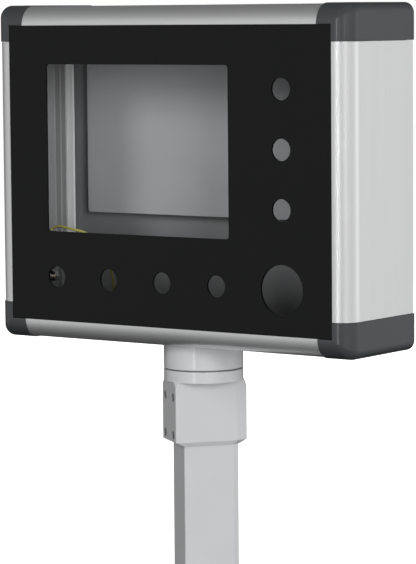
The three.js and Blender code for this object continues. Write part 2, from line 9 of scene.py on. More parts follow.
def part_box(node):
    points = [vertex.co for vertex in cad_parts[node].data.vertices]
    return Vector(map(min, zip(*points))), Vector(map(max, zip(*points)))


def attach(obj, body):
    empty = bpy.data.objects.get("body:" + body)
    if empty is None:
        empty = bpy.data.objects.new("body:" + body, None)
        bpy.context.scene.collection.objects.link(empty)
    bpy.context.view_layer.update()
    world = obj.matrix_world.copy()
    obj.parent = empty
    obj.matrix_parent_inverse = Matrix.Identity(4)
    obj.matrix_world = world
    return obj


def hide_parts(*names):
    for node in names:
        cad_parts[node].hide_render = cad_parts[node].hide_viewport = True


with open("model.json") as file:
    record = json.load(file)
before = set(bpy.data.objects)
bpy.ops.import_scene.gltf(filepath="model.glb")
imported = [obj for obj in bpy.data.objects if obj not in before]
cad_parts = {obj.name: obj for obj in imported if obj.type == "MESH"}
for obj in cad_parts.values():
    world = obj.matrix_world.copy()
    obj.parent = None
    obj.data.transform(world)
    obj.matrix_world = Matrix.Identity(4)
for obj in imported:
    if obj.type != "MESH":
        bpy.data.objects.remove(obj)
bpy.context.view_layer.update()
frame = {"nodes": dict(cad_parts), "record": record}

# Looks of an operator panel housing on a swivel coupling: softened edges, finishes, light and camera.
# Metres, +Z up, the housing's front faces -Y.

MM = 0.001
NODES = frame["nodes"]
SLOT_OF = {part["node"]: part["material_slot"] for part in frame["record"]["subparts"]}
BODY_OF = {node: body for body, nodes in frame["record"]["behaviour"]["bodies"].items() for node in nodes}

# ---------- Places taken from the frame ----------
PANEL_LOW, PANEL_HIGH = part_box("front_panel")
FLANGE_LOW, FLANGE_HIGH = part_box("coupling_flange")
SEAL_LOW, SEAL_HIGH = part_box("swivel_seal")
TUBE_LOW, TUBE_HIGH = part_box("support_tube")
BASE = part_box("profile_bottom")[0].z
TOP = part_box("profile_top")[1].z
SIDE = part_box("profile_right")[1].x
FRONT = PANEL_LOW.y

# ---------- Dimensions, in metres ----------
GAP = 0.3 * MM                      # clearance round the panel, and between profiles and caps
BAND = 20 * MM                      # width of the frame round the panel
WALL = 3 * MM
DEPTH = 120 * MM
CAP_ARM = 37 * MM                   # how far a cap reaches along each side
CAP_PROUD = 1 * MM
CAP_RADIUS = 11 * MM
PANEL_CORNER = Vector((PANEL_LOW.x - GAP, FRONT, PANEL_LOW.z - GAP))
SUPPORT_TURN = math.radians(53.8)   # from the housing's X to the tube's long side
COUPLING_RADIUS = 41.5 * MM
FLANGE_SCREW_CIRCLE = 37.3 * MM
SCREW_HOLE = 2.8 * MM


# ---------- Outlines ----------
def arc(cx, cy, r, start, end, steps):
    """Points on an arc, angles in degrees."""
    angles = [math.radians(start + (end - start) * i / steps) for i in range(steps + 1)]
    return [(cx + r * math.cos(a), cy + r * math.sin(a)) for a in angles]


def circle(cx, cy, r, steps=64):
    return arc(cx, cy, r, 0, 360, steps)[:-1]


def rounded_polygon(points, r, steps=5):
    """The polygon with every corner rounded."""
    out = []
    for i, corner in enumerate(points):
        p = Vector(corner)
        a = (Vector(points[i - 1]) - p).normalized()
        b = (Vector(points[(i + 1) % len(points)]) - p).normalized()
        half = a.angle(b) / 2
        reach = r / math.tan(half)
        centre = p + (a + b).normalized() * (r / math.sin(half))
        first, last = p + a * reach - centre, p + b * reach - centre
        turn = first.angle_signed(last)
        for k in range(steps + 1):
            out.append(tuple(centre + Matrix.Rotation(-turn * k / steps, 2) @ first))
    return out


def rectangle(x0, x1, y0, y1):
    return [(x0, y0), (x1, y0), (x1, y1), (x0, y1)]


# ---------- Meshes ----------
def new_object(name, mesh):
    obj = bpy.data.objects.new(name, mesh)
    bpy.context.scene.collection.objects.link(obj)
    return obj


def from_bmesh(name, bm):
    bmesh.ops.recalc_face_normals(bm, faces=bm.faces)
    mesh = bpy.data.meshes.new(name)
    bm.to_mesh(mesh)
    bm.free()
    return new_object(name, mesh)


def loft(name, loops, closed=False):
    """A skin through loops that have the same number of points. An open loft gets a face at each end."""
    bm = bmesh.new()
    rows = [[bm.verts.new(p) for p in loop] for loop in loops]
    pairs = list(zip(rows, rows[1:]))
    if closed:
        pairs.append((rows[-1], rows[0]))
    for low, high in pairs:
        for i in range(len(low)):
            j = (i + 1) % len(low)
            bm.faces.new((low[i], low[j], high[j], high[i]))
    if not closed:
        bm.faces.new(rows[0])
        bm.faces.new(rows[-1])
    return from_bmesh(name, bm)


def upright(name, outline, low, high):
    return loft(name, [[(x, y, low) for x, y in outline], [(x, y, high) for x, y in outline]])


TURNED_STEPS = 160


def turned(name, profile):
    """A turned piece about the swivel axis. The profile is a closed list of (radius, height)."""
    loops = []
    for k in range(TURNED_STEPS):
        a = 2 * math.pi * k / TURNED_STEPS
        loops.append([(r * math.cos(a), r * math.sin(a), z) for r, z in profile])
    return loft(name, loops, closed=True)


def rod(name, r, start, end, steps=48):
    """A plain round bar from start to end, used only to cut holes."""
    axis = Vector(end) - Vector(start)
    turn = axis.to_track_quat("Z", "Y").to_matrix()
    ring = [turn @ Vector((x, y, 0)) for x, y in circle(0, 0, r, steps)]
    return loft(name, [[Vector(start) + p for p in ring], [Vector(end) + p for p in ring]])


def baked(obj):
    """Applies the object's modifiers."""
    graph = bpy.context.evaluated_depsgraph_get()
    mesh = bpy.data.meshes.new_from_object(obj.evaluated_get(graph))
    obj.modifiers.clear()
    obj.data = mesh
    return obj


SLIVER = 0.02 * MM


def boolean(obj, operation, *tools):
    """Cuts obj with the tools, removes them, and closes the slivers that the cuts leave."""
    for tool in tools:
        step = obj.modifiers.new("boolean", "BOOLEAN")
        step.operation = operation
        step.solver = "EXACT"
        step.object = tool
    baked(obj)
    for tool in tools:
        bpy.data.objects.remove(tool)
    bm = bmesh.new()
    bm.from_mesh(obj.data)
    bmesh.ops.remove_doubles(bm, verts=bm.verts, dist=SLIVER)
    bmesh.ops.dissolve_degenerate(bm, edges=bm.edges, dist=SLIVER)
    bm.to_mesh(obj.data)
    bm.free()
    return obj


def soften(obj, width, angle=30):
    """Rounds the sharp edges by width, and shades the flat faces flat."""
    if width:
        bevel = obj.modifiers.new("bevel", "BEVEL")
        bevel.width = width
        bevel.segments = 2
        bevel.limit_method = "ANGLE"
        bevel.angle_limit = math.radians(angle)
        baked(obj)
    obj.data.polygons.foreach_set("use_smooth", [True] * len(obj.data.polygons))
    obj.data.set_sharp_from_angle(angle=math.radians(angle + 5))
    weighted = obj.modifiers.new("weighted", "WEIGHTED_NORMAL")
    weighted.keep_sharp = True
    return baked(obj)


def stand_for(obj, node):
    """obj takes the place, the body and the finish of this CAD node."""
    slot = SLOT_OF[node]
    obj.data.materials.clear()
    obj.data.materials.append(FINISHES.get(node) or FINISHES[slot])
    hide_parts(node)
    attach(obj, BODY_OF[node])
    return obj


def softened_copy(node, width):
    """The CAD node's own shape with its edges rounded."""
    bm = bmesh.new()
    bm.from_mesh(NODES[node].data)
    bmesh.ops.remove_doubles(bm, verts=bm.verts, dist=1e-6)
    bmesh.ops.dissolve_limit(bm, angle_limit=math.radians(1.5), verts=bm.verts, edges=bm.edges)
    obj = from_bmesh(f"{node}_finished", bm)
    return stand_for(soften(obj, width), node)


# ---------- Finishes ----------
def new_finish(name, color, roughness, metallic=0.0, **sockets):
    material = bpy.data.materials.new(name)
    material.use_nodes = True
    shader = material.node_tree.nodes["Principled BSDF"]
    shader.inputs["Base Color"].default_value = (*color, 1)
    shader.inputs["Roughness"].default_value = roughness
    shader.inputs["Metallic"].default_value = metallic
    for socket, value in sockets.items():
        shader.inputs[socket.replace("_", " ")].default_value = value
    return material


def noise(material, stretch, detail=2.0, roughness=0.5):
    """Noise in the object's own space. stretch is the number of grains per metre along each axis."""
    nodes, links = material.node_tree.nodes, material.node_tree.links
    place = nodes.new("ShaderNodeTexCoord")
    mapping = nodes.new("ShaderNodeMapping")
    mapping.inputs["Scale"].default_value = stretch
    texture = nodes.new("ShaderNodeTexNoise")
    texture.inputs["Scale"].default_value = 1.0
    texture.inputs["Detail"].default_value = detail
    texture.inputs["Roughness"].default_value = roughness
    links.new(place.outputs["Object"], mapping.inputs["Vector"])
    links.new(mapping.outputs["Vector"], texture.inputs["Vector"])
    return texture.outputs["Fac"]


NOISE_LOW, NOISE_HIGH = 0.3, 0.7    # the range that nearly all of a noise's values fall in


def map_range(nodes, links, value, start, end, low, high, kind="LINEAR"):
    """The value's range from start to end, mapped to low to high."""
    node = nodes.new("ShaderNodeMapRange")
    node.interpolation_type = kind
    sockets = {"From Min": start, "From Max": end, "To Min": low, "To Max": high}
    for socket, number in sockets.items():
        node.inputs[socket].default_value = number
    links.new(value, node.inputs["Value"])
    return node.outputs["Result"]


def vary_roughness(material, value, low, high):
    nodes, links = material.node_tree.nodes, material.node_tree.links
    varied = map_range(nodes, links, value, NOISE_LOW, NOISE_HIGH, low, high)
    links.new(varied, nodes["Principled BSDF"].inputs["Roughness"])


def vary_color(material, value, dark, light, start=NOISE_LOW, end=NOISE_HIGH):
    nodes, links = material.node_tree.nodes, material.node_tree.links
    ramp = nodes.new("ShaderNodeValToRGB")
    for element, position, color in zip(ramp.color_ramp.elements, (start, end), (dark, light)):
        element.position = position
        element.color = (*color, 1)
    links.new(value, ramp.inputs["Fac"])
    links.new(ramp.outputs["Color"], nodes["Principled BSDF"].inputs["Base Color"])


def relief(material, value, height, strength):
    nodes, links = material.node_tree.nodes, material.node_tree.links
    bump = nodes.new("ShaderNodeBump")
    bump.inputs["Distance"].default_value = height
    bump.inputs["Strength"].default_value = strength
    links.new(value, bump.inputs["Height"])
    links.new(bump.outputs["Normal"], nodes["Principled BSDF"].inputs["Normal"])


def scaled(color, factor):
    return tuple(channel * factor for channel in color)


def brushed(name, color, roughness, along, contrast=0.022):
    """Metal brushed along one axis: 0 for X, 1 for Y, 2 for Z."""
    material = new_finish(name, color, roughness, metallic=0.8)
    fine, broad = [1400.0, 1400.0, 1400.0], [190.0, 190.0, 190.0]
    fine[along], broad[along] = 6.0, 1.2
    lines = noise(material, fine, detail=3.0, roughness=0.65)
    bands = noise(material, broad, detail=3.0, roughness=0.6)
    vary_color(material, bands, scaled(color, 1 - contrast), scaled(color, 1 + contrast))
    vary_roughness(material, lines, roughness - 0.05, roughness + 0.07)
    relief(material, lines, 0.01 * MM, 0.5)
    return material


def grained(name, color, roughness, grains, height, contrast=0.03, metallic=0.0, **sockets):
    """An even finish with fine grain, and slow changes of gloss over the surface."""
    material = new_finish(name, color, roughness, metallic=metallic, **sockets)
    fine = noise(material, (grains, grains, grains), detail=2.0)
    slow = noise(material, (18.0, 18.0, 18.0), detail=4.0)
    vary_color(material, slow, scaled(color, 1 - contrast), scaled(color, 1 + contrast))
    vary_roughness(material, slow, roughness - 0.04, roughness + 0.05)
    relief(material, fine, height, 0.6)
    return material


def earth_colours():
    """Insulation that is green on one side of the lead and yellow on the other, by the mesh's own map."""
    material = new_finish("earth_insulation", (0.1, 0.3, 0.05), 0.38)
    nodes, links = material.node_tree.nodes, material.node_tree.links
    place = nodes.new("ShaderNodeTexCoord")
    split = nodes.new("ShaderNodeSeparateXYZ")
    links.new(place.outputs["UV"], split.inputs["Vector"])
    vary_color(material, split.outputs["X"], (0.42, 0.40, 0.11), (0.09, 0.19, 0.07), 0.53, 0.55)
    relief(material, noise(material, (900.0, 900.0, 900.0)), 0.02 * MM, 0.4)
    return material


def make_finishes():
    """Finishes by material slot, or by node where a piece has its own."""
    aluminium = (0.82, 0.825, 0.83)
    screw = grained("bright_screw", (0.66, 0.67, 0.68), 0.22, 500.0, 0.01 * MM, metallic=0.9)
    level = brushed("aluminium_level", aluminium, 0.34, 0)
    return {
        "aluminium_profile": brushed("aluminium_upright", aluminium, 0.34, 2),
        "profile_top": level,
        "profile_bottom": level,
        "mill": grained("aluminium_mill", (0.47, 0.475, 0.48), 0.5, 600.0, 0.01 * MM, metallic=0.35),
        # The ledge's near-white, barely metallic aluminium is partly a painted highlight, standing for the
        # light that its front face catches.
        "ledge": grained("aluminium_ledge_highlight", (0.93, 0.935, 0.94), 0.5, 600.0, 0.01 * MM, metallic=0.1),
        "panel_black": grained("panel_black", (0.0040, 0.0044, 0.0042), 0.3, 2600.0, 0.004 * MM,
                               contrast=0.06, Specular_IOR_Level=0.2),
        "cap_grey": grained("cap_grey", (0.046, 0.049, 0.052), 0.08, 900.0, 0.002 * MM,
                            Specular_IOR_Level=0.4),
        "coupling_paint": grained("coupling_paint", (0.545, 0.55, 0.56), 0.42, 1100.0, 0.006 * MM,
                                  contrast=0.02, Coat_Weight=1.0, Coat_Roughness=0.06),
        "door_paint": grained("door_paint", (0.23, 0.235, 0.24), 0.45, 1300.0, 0.03 * MM),
        "plate_paint": grained("plate_paint", (0.395, 0.405, 0.415), 0.5, 1300.0, 0.02 * MM),
        "steel": grained("bright_steel", (0.62, 0.62, 0.61), 0.28, 900.0, 0.01 * MM, metallic=1.0),
        "zinc_plated": grained("zinc_plated", (0.50, 0.51, 0.53), 0.36, 500.0, 0.02 * MM,
                               contrast=0.12, metallic=1.0),
        **{f"clamp_screw_{i}": screw for i in (1, 2, 3, 4)},
        "tinned_copper": grained("tinned_copper", (0.62, 0.55, 0.44), 0.32, 700.0, 0.02 * MM,
                                 contrast=0.1, metallic=1.0),
        "seal_rubber": grained("seal_rubber", (0.018, 0.018, 0.018), 0.75, 1500.0, 0.03 * MM),
        "swivel_seal": grained("joint_seal", (0.22, 0.22, 0.22), 0.6, 1500.0, 0.03 * MM),
        "bearing_polymer": grained("bearing_polymer", (0.72, 0.69, 0.60), 0.45, 900.0, 0.02 * MM),
        "wire_coat": earth_colours(),
    }


# ---------- Housing frame ----------
# Sections are lists of (how far in from the outer face, how far behind the panel's face), in mm.
EDGE_RADIUS, CHAMBER_RADIUS = 20, 17
SHELL, BACK = 3, 120                                        # thickness of the shell, and its back edge
SEAT_FRONT, SEAT_BACK, SEAT_REACH = 4.2, 7.2, 30            # shelf that the panel lies on
LEDGE_FRONT, LEDGE_BACK, LEDGE_REACH = 107, 110, 20         # ledge that the door closes on
CHANNEL_FRONT, CHANNEL_BACK, CHANNEL_FLOOR = 97, 104, 5.5   # nut channel before the door's ledge
LIP_FRONT, RIB_FRONT, RIB_BACK, RIB_REACH = 95, 85, 87, 12  # the channel's lip, and a rib before it


def seat_section():
    """The rounded chamber at the front, and the shelf behind the panel."""
    centre = (EDGE_RADIUS, EDGE_RADIUS)
    chamber = [p for p in arc(*centre, CHAMBER_RADIUS, 180, 270, 16) if p[1] > SEAT_BACK]
    mouth = EDGE_RADIUS - math.sqrt(CHAMBER_RADIUS ** 2 - (EDGE_RADIUS - SEAT_BACK) ** 2)
    return [*chamber, (mouth, SEAT_BACK), (SEAT_REACH, SEAT_BACK), (SEAT_REACH, SEAT_FRONT),
            (EDGE_RADIUS, SEAT_FRONT)]


def in_metres(section):
    return [(inward * MM, depth * MM) for inward, depth in section]


def profile_section():
    rim = 0.8
    return in_metres([
        *arc(EDGE_RADIUS, EDGE_RADIUS, EDGE_RADIUS, 270, 180, 32),
        *arc(rim, BACK - rim, rim, 180, 90, 4), (SHELL, BACK),
        (SHELL, LEDGE_BACK), (LEDGE_REACH, LEDGE_BACK), (LEDGE_REACH, LEDGE_FRONT),
        (RIB_REACH, LEDGE_FRONT), (RIB_REACH, CHANNEL_BACK), (CHANNEL_FLOOR, CHANNEL_BACK),
        (CHANNEL_FLOOR, CHANNEL_FRONT), (RIB_REACH, CHANNEL_FRONT), (RIB_REACH, LIP_FRONT),
        (SHELL, LIP_FRONT), (SHELL, RIB_BACK), (RIB_REACH, RIB_BACK), (RIB_REACH, RIB_FRONT),
        (SHELL, RIB_FRONT),
        *seat_section()])


def cap_section():
    """The frame's section without its ribs, standing proud of it by CAP_PROUD outside."""
    proud, rim = CAP_PROUD / MM, 1.2
    return in_metres([
        *arc(EDGE_RADIUS, EDGE_RADIUS, EDGE_RADIUS + proud, 268, 180, 28),
        *arc(rim - proud, BACK + proud - rim, rim, 180, 90, 5),
        (SHELL - 0.4, BACK + proud), (SHELL, BACK + proud - 0.4),
        (SHELL, LEDGE_BACK), (LEDGE_REACH, LEDGE_BACK), (LEDGE_REACH, LEDGE_FRONT), (SHELL, LEDGE_FRONT),
        *seat_section(), (EDGE_RADIUS, -0.6)])


def frame_profiles():
    section = profile_section()
    reach = SIDE - CAP_ARM - GAP
    low, high = BASE + CAP_ARM + GAP, TOP - CAP_ARM - GAP
    for node, edge, inward in (("profile_top", TOP, -1), ("profile_bottom", BASE, 1)):
        loops = [[(x, FRONT + d, edge + inward * t) for t, d in section] for x in (-reach, reach)]
        obj = loft(f"{node}_finished", loops)
        if node == "profile_bottom":
            cut_bottom_profile(obj)
        bare_inside(stand_for(soften(obj, 0), node))
    for node, side in (("profile_left", -1), ("profile_right", 1)):
        loops = [[(side * (SIDE - t), FRONT + d, z) for t, d in section] for z in (low, high)]
        bare_inside(stand_for(soften(loft(f"{node}_finished", loops), 0), node))


def bare_inside(obj):
    """Only the outside is brushed: the inside is dull mill finish, and the door's ledge is near-white,
    partly a duller finish and partly a painted highlight for the light that falls on its front face.
    """
    obj.data.materials.append(FINISHES["mill"])
    obj.data.materials.append(FINISHES["ledge"])
    brushed_side, mill_side, ledge_highlight_side = 0, 1, 2
    for polygon in obj.data.polygons:
        x, y, z = polygon.center
        inward, depth = min(SIDE - abs(x), TOP - z, z - BASE), y - FRONT
        if depth < BAND:
            outside = math.hypot(inward - BAND, depth - BAND) > BAND - MM or depth < 0
        else:
            outside = inward < MM or depth > DEPTH - MM
        on_ledge = inward > RIB_REACH * MM and depth > (CHANNEL_BACK - 1) * MM
        polygon.material_index = brushed_side if outside else ledge_highlight_side if on_ledge else mill_side


def flange_screw_places():
    angles = [math.radians(a) for a in (45, 135, 225, 315)]
    return [(FLANGE_SCREW_CIRCLE * math.cos(a), FLANGE_SCREW_CIRCLE * math.sin(a)) for a in angles]


DUCT_RADIUS = 23.5 * MM
ROOM_HALF, ROOM_FRONT, ROOM_TOP = 52 * MM, FRONT + 80 * MM, BASE + 13 * MM


def cut_bottom_profile(obj):
    """The cable duct, the flange's screw holes, and the room for the reinforcing plate."""
    low, high = BASE - 5 * MM, BASE + WALL + MM
    tools = [rod("duct", DUCT_RADIUS, (0, 0, low), (0, 0, high), 96)]
    tools += [rod("screw", SCREW_HOLE, (x, y, low), (x, y, high)) for x, y in flange_screw_places()]
    room = rectangle(-ROOM_HALF, ROOM_HALF, ROOM_FRONT, FRONT + LEDGE_FRONT * MM)
    tools.append(upright("room", room, BASE + WALL, ROOM_TOP))
    boolean(obj, "DIFFERENCE", *tools)


def corner_caps():
    """Each cap is the frame's section carried round the corner, sharper towards the panel."""
    section = cap_section()
    middle, half = (TOP + BASE) / 2, (TOP - BASE) / 2
    for row, sz in (("top", 1), ("bottom", -1)):
        for side, sx in (("left", -1), ("right", 1)):
            paths = []
            for inward, depth in section:
                share = (inward + CAP_PROUD) / (BAND + CAP_PROUD)
                r = max(CAP_RADIUS * (1 - share), 0.4 * MM)
                bend = arc(inward + r, inward + r, r, 180, 270, 14)
                path = [(inward, CAP_ARM), *bend, (CAP_ARM, inward)]
                paths.append([(sx * (SIDE - u), FRONT + depth, middle + sz * (half - v)) for u, v in path])
            node = f"corner_cap_{row}_{side}"
            obj = loft(f"{node}_finished", [list(loop) for loop in zip(*paths)])
            stand_for(soften(obj, 0, angle=40), node)


# ---------- Front panel ----------
def flat_plate(name, outlines, front, back, edge):
    """A plate facing -Y with small rounded edges. The first outline is its rim, the others are holes."""
    curve = bpy.data.curves.new(name, "CURVE")
    curve.dimensions = "2D"
    curve.fill_mode = "BOTH"
    curve.extrude = (back - front) / 2 - edge
    curve.bevel_depth = edge
    curve.bevel_resolution = 2
    curve.offset = -edge
    for points in outlines:
        spline = curve.splines.new("POLY")
        spline.points.add(len(points) - 1)
        for point, (x, z) in zip(spline.points, points):
            point.co = (x, z, 0, 1)
        spline.use_cyclic_u = True
    source = new_object(name, curve)
    graph = bpy.context.evaluated_depsgraph_get()
    mesh = bpy.data.meshes.new_from_object(source.evaluated_get(graph))
    mesh.transform(Matrix.Translation((0, (front + back) / 2, 0)) @ Matrix.Rotation(math.pi / 2, 4, "X"))
    bpy.data.objects.remove(source)
    bm = bmesh.new()
    bm.from_mesh(mesh)
    bmesh.ops.remove_doubles(bm, verts=bm.verts, dist=1e-7)
    bpy.data.meshes.remove(mesh)
    return from_bmesh(name, bm)


# Measured from the panel opening's lower left corner, in mm.
DISPLAY_LEFT, DISPLAY_RIGHT, DISPLAY_LOW, DISPLAY_HIGH, DISPLAY_RADIUS = 49.1, 282, 94.5, 269.5, 3.5
SMALL_HOLE, LARGE_HOLE = 11.15, 25.25   # radii
ROW_HEIGHT, ROW_START, ROW_STEP = 46.3, 60.4, 68.5
COLUMN_PLACE, COLUMN_START, COLUMN_STEP = 346, 126, 60


def front_panel():
    px, pz = PANEL_CORNER.x, PANEL_CORNER.z
    rim = rectangle(PANEL_LOW.x, PANEL_HIGH.x, PANEL_LOW.z, PANEL_HIGH.z)
    window = rectangle(px + DISPLAY_LEFT * MM, px + DISPLAY_RIGHT * MM,
                       pz + DISPLAY_LOW * MM, pz + DISPLAY_HIGH * MM)
    places = [(COLUMN_PLACE, COLUMN_START + COLUMN_STEP * i, SMALL_HOLE) for i in range(3)]
    places += [(ROW_START + ROW_STEP * i, ROW_HEIGHT, SMALL_HOLE) for i in range(4)]
    places.append((COLUMN_PLACE, ROW_HEIGHT, LARGE_HOLE))
    holes = [circle(px + x * MM, pz + z * MM, r * MM, 64 if r == SMALL_HOLE else 128)
             for x, z, r in places]
    outlines = [rounded_polygon(rim[::-1], 0.4 * MM, 2),
                rounded_polygon(window[::-1], DISPLAY_RADIUS * MM, 10), *holes]
    obj = flat_plate("front_panel_finished", outlines, PANEL_LOW.y, PANEL_HIGH.y, 0.35 * MM)
    stand_for(soften(obj, 0, angle=40), "front_panel")


# ---------- Earth lead ----------
ROUTE_FROM_PANEL = [
    (34.6, 14.5, 70), (31, 20, 79.5), (29.5, 26, 88), (32, 29.2, 94), (38, 30, 96.9), (45, 30, 96.8),
    (53, 30, 95.6), (62, 30, 94.2), (72, 30, 92.4), (83, 30, 88.5), (94, 29.5, 81), (103, 29, 70),
    (109, 29.5, 57), (111, 31, 44), (110, 34, 29), (107, 39.5, 15), (104.3, 44.2, 3.5)]
PANEL_STUD, LUG_DIRECTION, LUG_REACH = (44, 12.6, 46), (-0.37, 0, 0.93), 16.3
FRAME_LUG = (104, 45, 14.1)         # the last height is over the bottom profile's shell
WIRE_RADIUS, WIRE_SIDES = 1.45, 20


def wire_route():
    start = PANEL_CORNER + (Vector(PANEL_STUD) + Vector(LUG_DIRECTION).normalized() * LUG_REACH) * MM
    bends = [PANEL_CORNER + Vector(point) * MM for point in ROUTE_FROM_PANEL]
    x, y, z = (number * MM for number in FRAME_LUG)
    return [start, *bends, Vector((PANEL_CORNER.x + x, FRONT + y, BASE + WALL + z))]


def smooth_path(points, steps=8):
    """A centripetal Catmull-Rom curve through the points."""
    ends = [2 * points[0] - points[1], *points, 2 * points[-1] - points[-2]]
    path = [points[0]]
    for p0, p1, p2, p3 in zip(ends, ends[1:], ends[2:], ends[3:]):
        t1 = (p1 - p0).length ** 0.5
        t2 = t1 + (p2 - p1).length ** 0.5
        t3 = t2 + (p3 - p2).length ** 0.5
        for k in range(1, steps + 1):
            t = t1 + (t2 - t1) * k / steps
            a1 = p0 * ((t1 - t) / t1) + p1 * (t / t1)
            a2 = p1 * ((t2 - t) / (t2 - t1)) + p2 * ((t - t1) / (t2 - t1))
            a3 = p2 * ((t3 - t) / (t3 - t2)) + p3 * ((t - t2) / (t3 - t2))
            b1 = a1 * ((t2 - t) / t2) + a2 * (t / t2)
            b2 = a2 * ((t3 - t) / (t3 - t1)) + a3 * ((t - t1) / (t3 - t1))
            path.append(b1 * ((t2 - t) / (t2 - t1)) + b2 * ((t - t1) / (t2 - t1)))
    return path


def earth_lead():
    """The lead as a skin, with a map that runs from 0 on one side of it to 1 on the other."""
    path = smooth_path(wire_route())
    across = Vector((0, 1, 0))
    loops = []
    for i, point in enumerate(path):
        along = (path[min(i + 1, len(path) - 1)] - path[max(i - 1, 0)]).normalized()
        across = (across - along * across.dot(along)).normalized()
        other = along.cross(across)
        ring = circle(0, 0, WIRE_RADIUS * MM, WIRE_SIDES)
        loops.append([point + across * u + other * v for u, v in ring])
    obj = loft("earth_wire_finished", loops)
    layer = obj.data.uv_layers.new(name="round")
    for polygon in obj.data.polygons:
        steps = [obj.data.loops[i].vertex_index % WIRE_SIDES for i in polygon.loop_indices]
        wraps = len(steps) == 4 and max(steps) - min(steps) > 1
        for i, step in zip(polygon.loop_indices, steps):
            share = (step + WIRE_SIDES if wraps and step == 0 else step) / WIRE_SIDES
            layer.data[i].uv = (abs(2 * share - 1), 0)
    stand_for(soften(obj, 0), "earth_wire")


# ---------- Swivel coupling and clamp ----------
THREAD_DEPTH = 17.7 * MM
SEAL_INSET, SEAL_LIP = 0.3 * MM, 0.15 * MM
SEAL_BORE = 38.3 * MM


def coupling():
    low, high, r = FLANGE_LOW.z, FLANGE_HIGH.z, COUPLING_RADIUS
    bottom_edge, top_edge = 0.8 * MM, 0.3 * MM
    bore, rebate, shelf = 28 * MM, 33 * MM, high - 10 * MM
    body = [
        (bore, low), *arc(r - bottom_edge, low + bottom_edge, bottom_edge, 270, 360, 5),
        *arc(r - top_edge, high - top_edge, top_edge, 0, 90, 3),
        (rebate, high), (rebate, shelf), (bore, shelf)]
    flange = turned("coupling_flange_finished", body)
    threads = [rod("thread", SCREW_HOLE, (x, y, high - THREAD_DEPTH), (x, y, high + MM))
               for x, y in flange_screw_places()]
    boolean(flange, "DIFFERENCE", *threads)
    stand_for(soften(flange, 0), "coupling_flange")
    low, high, outer = SEAL_LOW.z, SEAL_HIGH.z, r - SEAL_INSET
    seal = [
        (SEAL_BORE, low), (outer - SEAL_LIP, low), (outer, low + SEAL_LIP), (outer, high - SEAL_LIP),
        (outer - SEAL_LIP, high), (SEAL_BORE, high)]
    stand_for(soften(turned("swivel_seal_finished", seal), 0), "swivel_seal")


def support_section(left, right, half, bevel_a, bevel_b, spare=0.0):
    """Six-sided section with its long side along X and two bevelled corners at +X, in millimetres."""
    return [
        (left - spare, -half - spare), (right - bevel_a, -half - spare), (right + spare, -half + bevel_b),
        (right + spare, half - bevel_b), (right - bevel_a, half + spare), (left - spare, half + spare)]


TUBE = (-28, 32, 20, 6, 3)          # as in support_section
CLAMP = (-38.2, 41.6, 23.3, 12.8, 6)
TUBE_WALL, TUBE_EDGE, TUBE_BORE_EDGE = 3, 1.8, 1.0
CLAMP_EDGE = 1.6                    # radius of the upright edges
CLAMP_BELOW = {                     # levels below the housing, mm
    "ring_top": 27.1, "ring": 38, "tube_top": 46, "shoulder": 57.4, "edge": 102, "foot": 106.6,
    "clear": 109.6}
SOCKET_SPARE = 0.3
CLAMP_DUCT = rectangle(-22, 22, -15, 15)
SCREW_ROWS = (55.5, 94.7)           # clamp screws below the housing, mm
SCREW_OFFSET = 13.3
COUNTERBORE, COUNTERBORE_FLOOR, SCREW_END = 4.7, -34.4, -27     # radius, then places along X
COLLAR_BORE, COLLAR_SPIGOT, SPIGOT_TOP = 21.5, 25.7, 10         # radii, then mm below the housing


def level_loop(section, radius, z):
    return [(x * MM, y * MM, z) for x, y in rounded_polygon(section[::-1], radius, 5)]


def clamp_cutters(level):
    """The tube's socket, the cable duct over it, and the holes of the clamp screws."""
    socket = [(x * MM, y * MM) for x, y in support_section(*TUBE, spare=SOCKET_SPARE)]
    duct = [(x * MM, y * MM) for x, y in rounded_polygon(CLAMP_DUCT[::-1], 6, 6)]
    cutters = [upright("socket", socket, level["clear"], level["tube_top"] + GAP),
               upright("duct", duct, level["tube_top"] - MM, level["ring"] + 0.2 * MM)]
    for drop in SCREW_ROWS:
        for side in (-1, 1):
            y, z = side * SCREW_OFFSET * MM, BASE - drop * MM
            for name, r, start, end in (
                    ("counterbore", COUNTERBORE * MM, CLAMP[0] - 1, COUNTERBORE_FLOOR),
                    ("screw_hole", SCREW_HOLE, COUNTERBORE_FLOOR - 0.6, SCREW_END)):
                cutters.append(rod(name, r, (start * MM, y, z), (end * MM, y, z)))
    return cutters


def clamp():
    level = {name: BASE - drop * MM for name, drop in CLAMP_BELOW.items()}
    body = loft("clamp_body_finished", [
        level_loop(support_section(*TUBE, spare=1), CLAMP_EDGE, level["foot"]),
        level_loop(support_section(*CLAMP), CLAMP_EDGE, level["edge"]),
        level_loop(support_section(*CLAMP), CLAMP_EDGE, level["ring"])])
    outside, axis = 50 * MM, 0.1 * MM
    shoulder = [
        (axis, level["clear"]), (outside, level["clear"]), (outside, level["shoulder"]),
        (COUPLING_RADIUS, level["ring"]), (axis, level["ring"])]
    boolean(body, "INTERSECT", turned("shoulder", shoulder))
    boolean(body, "DIFFERENCE", *clamp_cutters(level))
    soften(body, 0.5 * MM, angle=24)
    collar_low, spigot_top, e = level["ring"] - MM, BASE - SPIGOT_TOP * MM, 0.8 * MM
    collar_profile = [
        (COLLAR_BORE * MM, collar_low), (COUPLING_RADIUS - 0.02 * MM, collar_low),
        *arc(COUPLING_RADIUS - e, level["ring_top"] - e, e, 0, 90, 5),
        (COLLAR_SPIGOT * MM, level["ring_top"]), (COLLAR_SPIGOT * MM, spigot_top),
        (COLLAR_BORE * MM, spigot_top)]
    collar = soften(turned("clamp_collar_finished", collar_profile), 0)
    for obj in (body, collar):
        obj.data.transform(Matrix.Rotation(SUPPORT_TURN, 4, "Z"))
        stand_for(obj, "clamp_body")


